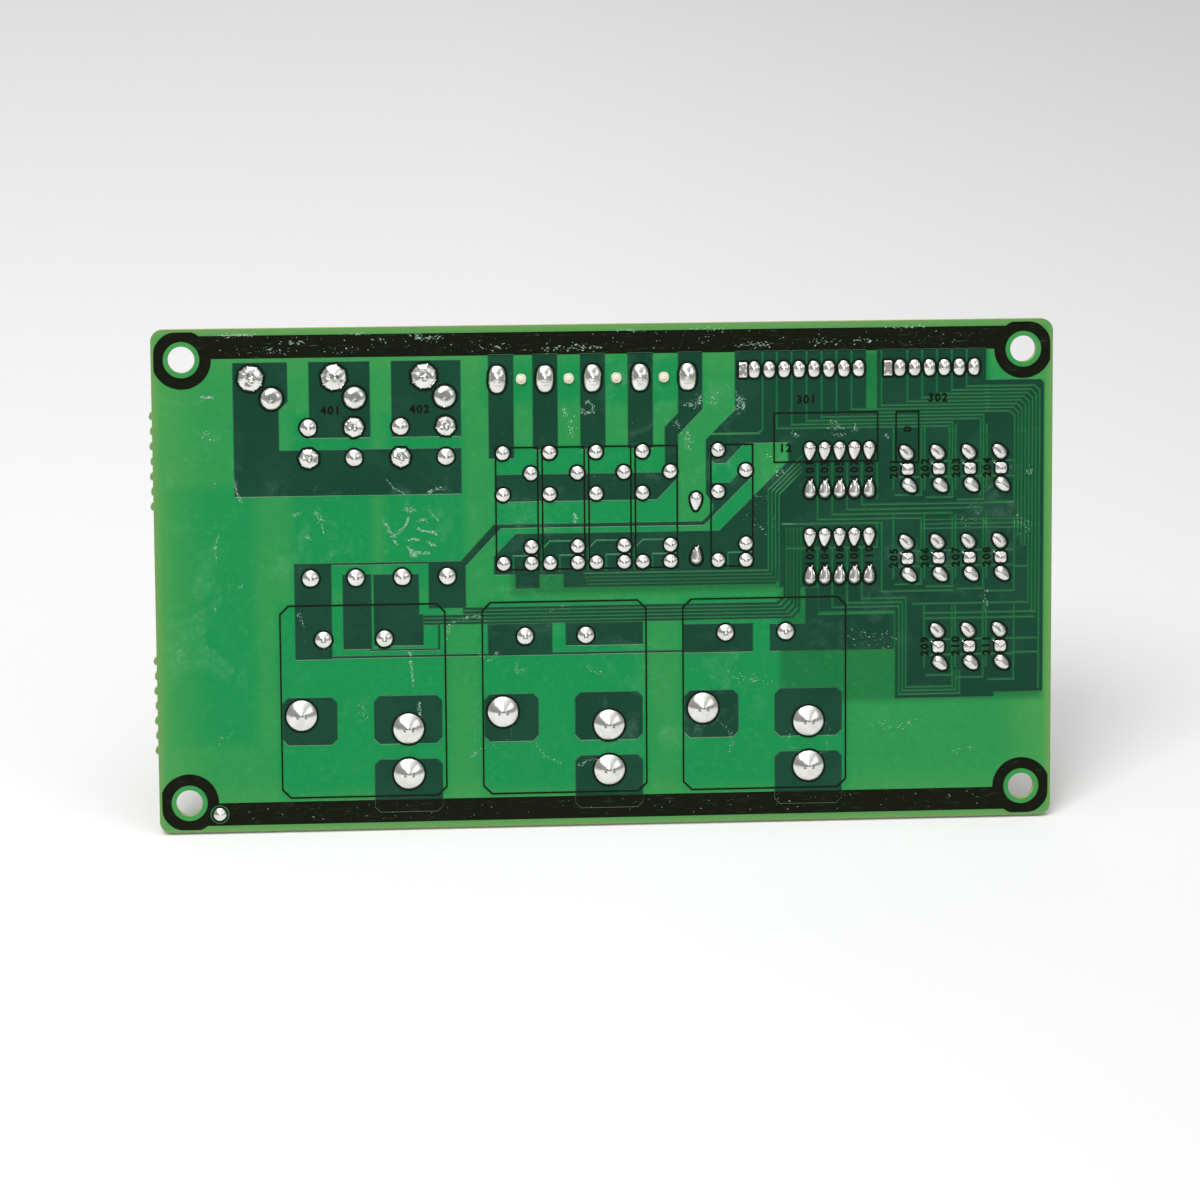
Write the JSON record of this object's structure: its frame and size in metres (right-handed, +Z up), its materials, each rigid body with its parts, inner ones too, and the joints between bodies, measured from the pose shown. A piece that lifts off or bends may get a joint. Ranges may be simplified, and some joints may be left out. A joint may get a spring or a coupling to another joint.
{
  "type": "relay output board",
  "caption": "Single-sided printed circuit board assembly with relays, transistors, diodes, plug headers and push-on tabs, standing on its long edge with its solder side to the front.",
  "frame": {"origin": "middle of the bottom of the assembly's box, on the surface it stands on", "axes": "+X along the board's long lower edge, to the right as its solder side is seen; +Y from the solder side towards the component side, level; +Z up. The board leans back by 15.8 degrees."},
  "size_m": [0.1505, 0.0358, 0.0813],
  "materials": {
    "laminate": "satin glass-epoxy laminate under a green solder mask",
    "foil": "copper foil under a glossy green solder mask",
    "ink": "printed black ink",
    "relay_case": "fine-textured black moulding",
    "relay_base": "plain black moulding",
    "tinned": "dull tinned brass",
    "solder": "bright to satin solder",
    "nylon": "off-white nylon",
    "transistor_body": "matt black moulding",
    "diode_body": "clear orange glass over the chip"
  },
  "bodies": {
    "root": {"laminate": "laminate", "copper_foil": "foil", "border_ink": "ink", "legend_ink": "ink", "power_relay_1_case": "relay_case", "power_relay_1_base": "relay_base", "power_relay_1_pins": "tinned", "power_relay_2_case": "relay_case", "power_relay_2_base": "relay_base", "power_relay_2_pins": "tinned", "power_relay_3_case": "relay_case", "power_relay_3_base": "relay_base", "power_relay_3_pins": "tinned", "slim_relay_1_case": "relay_case", "slim_relay_1_base": "relay_base", "slim_relay_2_case": "relay_case", "slim_relay_2_base": "relay_base", "slim_relay_3_case": "relay_case", "slim_relay_3_base": "relay_base", "slim_relay_4_case": "relay_case", "slim_relay_4_base": "relay_base", "slim_relay_5_case": "relay_case", "slim_relay_5_base": "relay_base", "slim_relay_pins": "tinned", "load_relay_1_case": "relay_case", "load_relay_1_base": "relay_base", "load_relay_2_case": "relay_case", "load_relay_2_base": "relay_base", "load_relay_pins": "tinned", "tab_terminal_1": "tinned", "tab_terminal_2": "tinned", "tab_terminal_3": "tinned", "load_header_housing": "nylon", "load_header_pins": "tinned", "eight_pin_header_housing": "nylon", "eight_pin_header_pins": "tinned", "six_pin_header_housing": "nylon", "six_pin_header_pins": "tinned", "transistor_1": "transistor_body", "transistor_2": "transistor_body", "transistor_3": "transistor_body", "transistor_4": "transistor_body", "transistor_5": "transistor_body", "transistor_6": "transistor_body", "transistor_7": "transistor_body", "transistor_8": "transistor_body", "transistor_9": "transistor_body", "transistor_10": "transistor_body", "transistor_11": "transistor_body", "transistor_leads": "tinned", "upper_diodes": "diode_body", "lower_diodes": "diode_body", "diode_leads": "tinned", "wire_link": "tinned", "power_relay_solder": "solder", "slim_relay_solder": "solder", "load_side_solder": "solder", "connector_solder": "solder", "diode_solder": "solder", "transistor_solder": "solder"}
  },
  "joints": []
}
